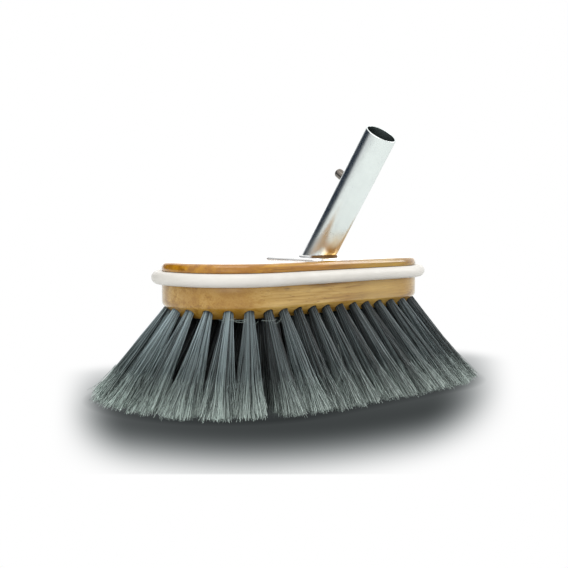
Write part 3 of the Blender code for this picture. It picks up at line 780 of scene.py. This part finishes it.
def tuft_tree():
    """Grows each point it is given into a tuft of filaments, from the point's own root, tip and widths."""
    takes = {"Tufts": "Geometry"}
    takes.update({name: "Int" for name in ("Filaments", "Split ends", "Frayed ends", "Seed")})
    sizes = ("Root width", "Thickness", "Wander", "Gather", "Wave", "Stray reach")
    takes.update({name: "Float" for name in sizes})
    takes["Bristle"] = "Material"
    tree, given = new_group("tuft of filaments", "GeometryNodeTree", takes, {"Brush": "Geometry"})

    def chance(low, high, salt):
        seed = plus(tree, given["Seed"], salt)
        values = {2: low, 3: high, 8: seed}
        return add(tree, "FunctionNodeRandomValue", values, data_type="FLOAT").outputs[1]

    def chance_vector(reach, salt):
        seed = plus(tree, given["Seed"], salt)
        values = {0: (-reach,) * 3, 1: (reach,) * 3, 8: seed}
        return add(tree, "FunctionNodeRandomValue", values, data_type="FLOAT_VECTOR").outputs[0]

    def keep(geometry, name, value, kind="FLOAT"):
        values = {"Geometry": geometry, "Name": name, "Value": value}
        made = add(tree, "GeometryNodeStoreNamedAttribute", values, data_type=kind, domain="POINT")
        return made.outputs[0]

    def kept(name, kind="FLOAT"):
        return add(tree, "GeometryNodeInputNamedAttribute", {"Name": name}, data_type=kind).outputs[0]

    def kept_vector(name):
        return kept(name, "FLOAT_VECTOR")

    def scaled(vector, by):
        return vectors(tree, "SCALE", vector, by)

    def upright(height):
        return add(tree, "ShaderNodeCombineXYZ", {2: height}).outputs[0]

    def swirl(where, detail=1.0):
        """A push to one side or another that neighbouring places share."""
        return vectors(tree, "SUBTRACT", noise_vector(tree, where, detail), (0.5, 0.5, 0.5))

    def between(first, second, share):
        made = add(tree, "ShaderNodeMix", {0: share, 4: first, 5: second}, data_type="VECTOR")
        return made.outputs[1]

    def grow(amount, start, points, thick_root, thick_tip, fan, salt):
        """Filaments from a share of the way down the tuft to its face."""
        values = {"Geometry": given["Tufts"], "Amount": amount}
        copies = add(tree, "GeometryNodeDuplicateElements", values, domain="POINT").outputs
        index = copies["Duplicate Index"]
        radius = maths(tree, "POWER", maths(tree, "DIVIDE", plus(tree, index, 0.5), amount), 0.5)
        turn = times(tree, index, GOLDEN_ANGLE)
        disc_x = times(tree, radius, maths(tree, "COSINE", turn))
        disc_y = times(tree, radius, maths(tree, "SINE", turn))
        disc = add(tree, "ShaderNodeCombineXYZ", {0: disc_x, 1: disc_y}).outputs[0]
        disc = moved(tree, disc, chance_vector(0.07, salt + 1))
        ground = keep(copies["Geometry"], "disc", disc, "FLOAT_VECTOR")
        own_place = scaled(kept_vector("tip"), 400.0)
        locks = moved(tree, scaled(disc, 2.6), own_place)
        wisps = moved(tree, scaled(disc, 9.0), own_place)
        lock_tone = spread(tree, noise(tree, locks, 1.0, 1.0), 0.38, 0.62, 0.0, 0.40)
        wisp_tone = spread(tree, noise(tree, wisps, 1.0, 1.0), 0.40, 0.60, 0.0, 0.65)
        tone = plus(tree, plus(tree, lock_tone, chance(-0.20, 0.20, salt + 2)), wisp_tone)
        # Painted shade darkens the tufts that ask for it, such as the inner rows.
        tone = plus(tree, tone, maths(tree, "MINIMUM", kept("wash"), 0.06))
        ground = keep(ground, "shade", tone)
        gather = moved(tree, swirl(locks), scaled(swirl(wisps, 0.0), 0.45))
        ground = keep(ground, "gather", gather, "FLOAT_VECTOR")
        ground = keep(ground, "sway", chance_vector(1.0, salt + 3), "FLOAT_VECTOR")
        ground = keep(ground, "bow", chance_vector(1.0, salt + 4), "FLOAT_VECTOR")
        ground = keep(ground, "loose", maths(tree, "GREATER_THAN", chance(0.0, 1.0, salt + 5), 0.975))
        ground = keep(ground, "lift", chance(0.0, 1.0, salt + 6))
        ends = {"Start": (0.0, 0.0, 0.0), "End": (0.0, 0.0, 0.01)}
        line = add(tree, "GeometryNodeCurvePrimitiveLine", ends).outputs[0]
        line = add(tree, "GeometryNodeResampleCurve", {"Curve": line, "Count": points}).outputs[0]
        values = {"Points": ground, "Instance": line}
        strands = add(tree, "GeometryNodeInstanceOnPoints", values).outputs[0]
        strands = add(tree, "GeometryNodeRealizeInstances", {0: strands}).outputs[0]
        factor = add(tree, "GeometryNodeSplineParameter").outputs["Factor"]
        strands = keep(strands, "along", plus(tree, times(tree, factor, 1.0 - start), start))

        along = kept("along")
        squared = times(tree, along, along)
        disc = kept_vector("disc")
        disc_x, disc_y, _ = split(tree, disc)
        at_root = moved(tree, scaled(kept_vector("side"), disc_x), scaled(kept_vector("other"), disc_y))
        at_tip = moved(tree, scaled(kept_vector("across"), disc_x), scaled(kept_vector("away"), disc_y))
        at_root = scaled(at_root, given["Root width"])
        offset = between(at_root, at_tip, maths(tree, "POWER", along, 1.2))
        spot = moved(tree, between(kept_vector("root"), kept_vector("tip"), along), offset)
        waved = swirl(moved(tree, scaled(disc, 3.0), upright(times(tree, along, 3.2))))
        spot = moved(tree, spot, scaled(waved, times(tree, squared, given["Wave"])))
        roaming = times(tree, squared, given["Wander"])
        roaming = plus(tree, roaming, times(tree, minus(tree, along, start), fan))
        reach = times(tree, times(tree, kept("loose"), squared), given["Stray reach"])
        sway = scaled(kept_vector("sway"), plus(tree, roaming, reach))
        spot = moved(tree, spot, vectors(tree, "MULTIPLY", sway, (1.0, 1.0, 0.25)))
        belly = maths(tree, "SINE", times(tree, along, math.pi))
        belly = times(tree, belly, times(tree, given["Wander"], 0.8))
        spot = moved(tree, spot, scaled(kept_vector("bow"), belly))
        gathered = scaled(kept_vector("gather"), times(tree, along, given["Gather"]))
        spot = moved(tree, spot, gathered)
        edge = spread(tree, vectors(tree, "LENGTH", disc), 0.62, 1.05, 0.0, 0.0016)
        raised = times(tree, plus(tree, times(tree, kept("lift"), 0.0030), edge), squared)
        raised = plus(tree, raised, times(tree, squared, kept("trim")))
        spot = vectors(tree, "MAXIMUM", moved(tree, spot, upright(raised)), (-1.0, -1.0, 0.0002))
        strands = add(tree, "GeometryNodeSetPosition", {"Geometry": strands, "Position": spot}).outputs[0]
        width = add(tree, "ShaderNodeMapRange", {0: factor, 3: thick_root, 4: thick_tip}).outputs[0]
        width = times(tree, width, given["Thickness"])
        values = {"Resolution": 3, "Radius": 1.0}
        ring = add(tree, "GeometryNodeCurvePrimitiveCircle", values, mode="RADIUS").outputs[0]
        values = {"Curve": strands, "Profile Curve": ring, "Scale": width, "Fill Caps": True}
        return add(tree, "GeometryNodeCurveToMesh", values).outputs[0]

    whole = tree.nodes.new("GeometryNodeJoinGeometry")
    for strands in (
        grow(given["Filaments"], 0.0, 8, 1.0, 0.85, 0.0, 0),
        grow(given["Split ends"], 0.72, 4, 0.75, 0.42, 0.0075, 20),
        grow(given["Frayed ends"], 0.88, 4, 0.60, 0.36, 0.020, 40),
    ):
        tree.links.new(strands, whole.inputs[0])
    smooth = add(tree, "GeometryNodeSetShadeSmooth", {"Geometry": whole.outputs[0]}).outputs[0]
    hand_out(tree, smooth, given["Bristle"])
    return tree


bristle, tree, shader, place = new_material("soft bristle", Roughness=0.42, IOR=1.45)
kept_values = [add(tree, "ShaderNodeAttribute", attribute_name=key) for key in ("along", "shade", "wash")]
along, tone, wash = [made.outputs["Fac"] for made in kept_values]
mottle = noise(tree, stretched(tree, place, (240.0, 240.0, 60.0)), 1.0, 3.0, 0.6)
paling = plus(tree, along, times(tree, minus(tree, mottle, 0.5), 0.16))
# Both ramps start near black at the root: painted shade where the filaments leave the hole.
darks = [(0.065, 0.002, 0.003, 0.003), (0.13, 0.006, 0.008, 0.009), (0.40, 0.007, 0.010, 0.011)]
darks += [(0.66, 0.008, 0.012, 0.012), (0.80, 0.026, 0.035, 0.033), (1.0, 0.085, 0.107, 0.098)]
lights = [(0.065, 0.008, 0.010, 0.011), (0.13, 0.120, 0.150, 0.158), (0.40, 0.125, 0.158, 0.164)]
lights += [(0.66, 0.132, 0.168, 0.170), (0.80, 0.27, 0.332, 0.316), (1.0, 0.48, 0.568, 0.530)]
dark, light = ramp(tree, paling, darks), ramp(tree, paling, lights)
strand = blended(tree, spread(tree, tone, 0.22, 0.80), dark, light)
# Tufts facing one end are painted paler towards the root: painted light.
wash = maths(tree, "MAXIMUM", wash, 0.0)
painted_lightening = plus(tree, 1.0, times(tree, wash, spread(tree, along, 0.80, 0.20, 1.0, 6.8)))
strand = vectors(tree, "SCALE", strand, painted_lightening)
paint(tree, shader, strand, spread(tree, mottle, 0.3, 0.7, 0.36, 0.52))


def hair(name, tufts, seed, filaments, ends, frayed):
    """A piece of bristle from the vectors and numbers of each of its tufts."""
    piece = new_object(name, bpy.data.meshes.new(name))
    mesh = piece.data
    mesh.from_pydata([tuple(t[0]) for t in tufts], [], [])
    for i, key in enumerate(TUFT_VECTORS):
        values = mesh.attributes.new(key, "FLOAT_VECTOR", "POINT")
        values.data.foreach_set("vector", [c for t in tufts for c in t[i]])
    for i, key in enumerate(TUFT_NUMBERS, len(TUFT_VECTORS)):
        mesh.attributes.new(key, "FLOAT", "POINT").data.foreach_set("value", [t[i] for t in tufts])
    values = {"Filaments": filaments, "Split ends": ends, "Frayed ends": frayed, "Seed": seed}
    values.update({"Root width": 0.0026, "Thickness": 0.00024, "Wander": 0.0010, "Gather": 0.0075})
    values.update({"Wave": 0.0070, "Stray reach": 0.003, "Bristle": bristle})
    give(piece, tuft_nodes, values)
    settle(piece)
    for spare in (*TUFT_VECTORS, "trim", "disc", "sway", "bow", "loose", "lift", "gather"):
        if spare in piece.data.attributes:
            piece.data.attributes.remove(piece.data.attributes[spare])
    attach(piece, "brush")
    return piece


def tuft_directions(deep, outside, across, half_across, half_away, trim, wash):
    """What the tuft tree needs to know of one tuft, from the line through its hole."""
    run = (outside - deep).normalized()
    root = deep + run * 0.006
    tip = deep - run * (deep.z / run.z)
    side = (across - run * across.dot(run)).normalized()
    other = run.cross(side)
    away = Vector((other.x, other.y, 0.0)).normalized()
    return root, tip, side, other, across * half_across, away * half_away, trim, wash


tuft_nodes = tuft_tree()
tuft_chance = np.random.RandomState(41)
OUTER_STRANDS = (340, 300, 150)
INNER_STRANDS = (210, 120, 30)
# The inner rows are painted darker: painted shade between the outer tufts.
ROW_PAINTED_SHADE = -0.30
ROW_HALF_ACROSS, ROW_HALF_AWAY = 0.0124, 0.0105
FACE_SHARE = 0.78 * math.cos(math.pi / 8)
for number, name in enumerate(n for n in bristle_nodes if n.startswith("outer")):
    deep, outside = tuft_lines(name)[0]
    outward = Vector((outside.x - deep.x, outside.y - deep.y, 0.0)).normalized()
    across = UP.cross(outward)
    away = Vector((-across.y, across.x, 0.0))
    face_points = [v.co for v in nodes[name].data.vertices if v.co.z < 0.001]
    middle = sum(face_points, Vector()) / len(face_points)
    half_across = max(abs((p - middle).dot(across)) for p in face_points) / FACE_SHARE
    half_away = max(abs((p - middle).dot(away)) for p in face_points) / FACE_SHARE
    # Tufts facing one end are painted paler (painted light), the rest a little darker (painted shade), each
    # with a random tone.
    end_light = min(1.0, max(0.0, (-outward.x - 0.55) / 0.35))
    wash = 0.48 * end_light - 0.05 + tuft_chance.uniform(-0.12, 0.12)
    trim = tuft_chance.uniform(0.0, 0.0016)
    spreading = tuft_chance.uniform(0.88, 1.12)
    line = list(tuft_directions(deep, outside, across, half_across * spreading, half_away, trim, wash))
    line[1] = line[1] + across * tuft_chance.uniform(-0.0035, 0.0035)
    tuft = hair(name.replace("outer_tuft", "edge_bristles"), [line], 100 + number, *OUTER_STRANDS)
    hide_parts(name)
for number, name in enumerate(n for n in bristle_nodes if n.startswith("inner")):
    lines = []
    for i, (deep, outside) in enumerate(tuft_lines(name)):
        flare = (ALONG_BLOCK, ROW_HALF_ACROSS, ROW_HALF_AWAY)
        lines.append(tuft_directions(deep, outside, *flare, 0.0004 * (i % 2), ROW_PAINTED_SHADE))
    row = hair(name.replace("inner_tuft_row", "row_bristles"), lines, 200 + number, *INNER_STRANDS)
    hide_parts(name)

LOOSE_RADIUS = 0.00009
end_corner = Vector((-BLOCK_LENGTH / 2 + BLOCK_END_RADIUS, -BLOCK_WIDTH / 2 + BLOCK_END_RADIUS, 0.0))
loose_lines = [
    (Vector((-0.036, -0.080, 0.045)), Vector((-0.041, -0.094, 0.031)), Vector((-0.056, -0.096, 0.016)))
]
for _ in range(7):
    turn = math.radians(tuft_chance.uniform(48, 82))
    outward = Vector((-math.cos(turn), -math.sin(turn), 0.0))
    start = end_corner + outward * (BLOCK_END_RADIUS + 0.003) + UP * tuft_chance.uniform(0.0635, 0.0695)
    run = UP.cross(outward) * tuft_chance.choice((-1, 1)) * tuft_chance.uniform(0.008, 0.019)
    run += UP * tuft_chance.uniform(-0.004, 0.003)
    sag = outward * 0.002 + UP * tuft_chance.uniform(-0.005, -0.001)
    loose_lines.append((start, start + run * 0.5 + sag, start + run))
loose_shapes = []
for start, bend, end in loose_lines:
    rings = []
    for step in range(11):
        ring = []
        t = step / 10
        spot = start * (1 - t) ** 2 + bend * 2 * t * (1 - t) + end * t ** 2
        run = ((bend - start) * (1 - t) + (end - bend) * t).normalized()
        side = run.cross(Vector((0.3, 1.0, 0.2))).normalized()
        other = run.cross(side)
        for corner in range(3):
            turn = math.tau * corner / 3
            ring.append(spot + (side * math.cos(turn) + other * math.sin(turn)) * LOOSE_RADIUS)
        rings.append(ring)
    loose_shapes.append(skin(rings))
loose = make_piece("loose_filaments", *joined(loose_shapes))
for key, value in (("along", 0.84), ("shade", 0.75), ("wash", 0.0)):
    values = loose.data.attributes.new(key, "FLOAT", "POINT")
    values.data.foreach_set("value", [value] * len(loose.data.vertices))
loose.data.materials.append(bristle)
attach(loose, "brush")


# The studio: a pale floor that runs out of sight with a wide soft shadow painted on it, a bright tent
# with a dark card behind on the left, which draws the dark line down the tube, and four area lights.
TO_THE_BACK = Vector((0.7032, 0.7110, 0.0))
TO_THE_RIGHT = Vector((0.7110, -0.7032, 0.0))


def soft_step(tree, value, middle, half):
    """Rises smoothly from nothing to all over a run of values."""
    values = {0: value, 1: middle - half, 2: middle + half}
    return add(tree, "ShaderNodeMapRange", values, interpolation_type="SMOOTHERSTEP").outputs[0]


floor_mesh = bpy.data.meshes.new("studio_floor")
floor_mesh.from_pydata([(-30, -30, 0), (30, -30, 0), (30, 30, 0), (-30, 30, 0)], [], [(0, 1, 2, 3)])
floor = new_object("studio_floor", floor_mesh)
paper, tree, shader, place = new_material("pale paper", Roughness=0.9, Emission_Strength=1.0)
shader.inputs["Specular IOR Level"].default_value = 0.0
SHADOW_DARKNESS = 0.734
aside = vectors(tree, "DOT_PRODUCT", place, tuple(TO_THE_RIGHT))
back = vectors(tree, "DOT_PRODUCT", place, tuple(TO_THE_BACK))
left_fade = soft_step(tree, plus(tree, aside, times(tree, back, 0.2178)), -0.1792, 0.0305)
right_fade = soft_step(tree, minus(tree, times(tree, back, 0.2135), aside), -0.1524, 0.0404)
from_middle = plus(tree, aside, 0.0318)
bowed = times(tree, times(tree, from_middle, from_middle), 4.4616)
front_fade = soft_step(tree, minus(tree, back, bowed), -0.2565, 0.0941)
back_fade = soft_step(tree, minus(tree, times(tree, aside, 0.45), back), -0.058, 0.2757)
shadow = times(tree, times(tree, left_fade, right_fade), times(tree, front_fade, back_fade))
shadow = times(tree, shadow, spread(tree, back, -0.2965, -0.2930))
from_corner = vectors(tree, "SUBTRACT", vectors(tree, "ABSOLUTE", place), (0.0770, 0.0040, 0.0))
from_tips = vectors(tree, "LENGTH", vectors(tree, "MAXIMUM", from_corner, (0.0, 0.0, 0.0)))
lit_behind = times(tree, soft_step(tree, back, 0.07, 0.06), soft_step(tree, from_tips, 0.195, 0.045))
shadow = times(tree, shadow, minus(tree, 1.0, lit_behind))
# Darker still right round the tips: a painted contact shadow.
contact = spread(tree, from_tips, 0.0985, 0.112, 0.80, 1.0)
light_left = times(tree, contact, minus(tree, 1.0, times(tree, shadow, SHADOW_DARKNESS)))
tones = [maths(tree, "POWER", light_left, power) for power in (2.28, 2.20, 2.19)]
tones = add(tree, "ShaderNodeCombineColor", dict(enumerate(tones))).outputs[0]
# The camera sees the floor glow with its painted shadow, not lit; other rays see plain paper.
path = add(tree, "ShaderNodeLightPath").outputs
looked_at = path["Is Camera Ray"]
bounced = blended(tree, path["Is Glossy Ray"], (0.90, 0.90, 0.90, 1.0), (0.74, 0.76, 0.75, 1.0))
tree.links.new(blended(tree, looked_at, bounced, (0.0, 0.0, 0.0, 1.0)), shader.inputs["Base Color"])
tree.links.new(blended(tree, looked_at, (0.0, 0.0, 0.0, 1.0), tones), shader.inputs["Emission Color"])
floor_mesh.materials.append(paper)

world = bpy.data.worlds.new("studio tent")
bpy.context.scene.world = world
world.use_nodes = True
tree = world.node_tree
ways = add(tree, "ShaderNodeTexCoord").outputs["Generated"]
rise = split(tree, ways)[2]
CARD_TURN, CARD_EDGE, CARD_SOLID = math.radians(64), math.radians(43), math.radians(25)
ahead = maths(tree, "ABSOLUTE", vectors(tree, "DOT_PRODUCT", ways, tuple(TO_THE_BACK)))
sides = spread(tree, ahead, 0.0, 0.8, 0.62, 0.98)
tent = add(tree, "ShaderNodeCombineColor", {0: sides, 1: sides, 2: times(tree, sides, 1.02)}).outputs[0]
tent = blended(tree, spread(tree, rise, 0.05, 0.85), tent, (1.32, 1.31, 1.29, 1.0))
tent = blended(tree, spread(tree, ahead, 0.90, 0.97), tent, (1.7, 1.7, 1.7, 1.0))
card_way = TO_THE_BACK * math.cos(CARD_TURN) - TO_THE_RIGHT * math.sin(CARD_TURN)
facing = vectors(tree, "DOT_PRODUCT", ways, tuple((card_way + UP * 0.14).normalized()))
card = spread(tree, facing, math.cos(CARD_EDGE), math.cos(CARD_SOLID))
tent = blended(tree, card, tent, (0.010, 0.020, 0.038, 1.0))
lit = add(tree, "ShaderNodeBackground", {"Color": tent, "Strength": 1.05}).outputs[0]
plain = add(tree, "ShaderNodeBackground", {"Color": (1.0, 1.0, 1.0, 1.0), "Strength": 1.0}).outputs[0]
seen = add(tree, "ShaderNodeLightPath").outputs["Is Camera Ray"]
both = add(tree, "ShaderNodeMixShader", {0: seen, 1: lit, 2: plain}).outputs[0]
tree.links.new(both, tree.nodes["World Output"].inputs["Surface"])


def hang_light(name, place, aim, size, power):
    """An area light that faces a spot and can't be seen itself."""
    light = bpy.data.lights.new(name, "AREA")
    light.shape = "RECTANGLE"
    light.size, light.size_y = size
    light.energy = power
    stand = new_object(name, light)
    stand.location = place
    stand.rotation_euler = (Vector(aim) - stand.location).to_track_quat("-Z", "Y").to_euler()
    stand.visible_camera = False
    return stand


hang_light("softbox", (-0.30, -0.30, 0.90), (0.0, 0.0, 0.1), (0.7, 0.5), 2.5)
fill = hang_light("left fill", (-0.95, 0.35, 0.35), (-0.12, 0.0, 0.05), (0.6, 0.6), 0.9)
fill.visible_glossy = False
hang_light("strip", (0.75, -0.22, 0.82), (0.04, -0.05, 0.10), (0.26, 0.26), 1.2)
low_strip = hang_light("low strip", (0.757, -0.46, 0.50), (0.06, -0.05, 0.10), (0.20, 0.34), 1.3)
low_strip.visible_diffuse = False

camera = bpy.data.cameras.new("camera")
camera.lens = 63.38
camera.sensor_width = 36.0
viewer = new_object("camera", camera)
viewer.location = (-0.5979, -0.5900, 0.1416)
viewer.rotation_euler = (math.radians(90.0 - 3.795), 0.0, math.radians(-44.68))
bpy.context.scene.camera = viewer
bpy.context.scene.view_settings.view_transform = "Standard"
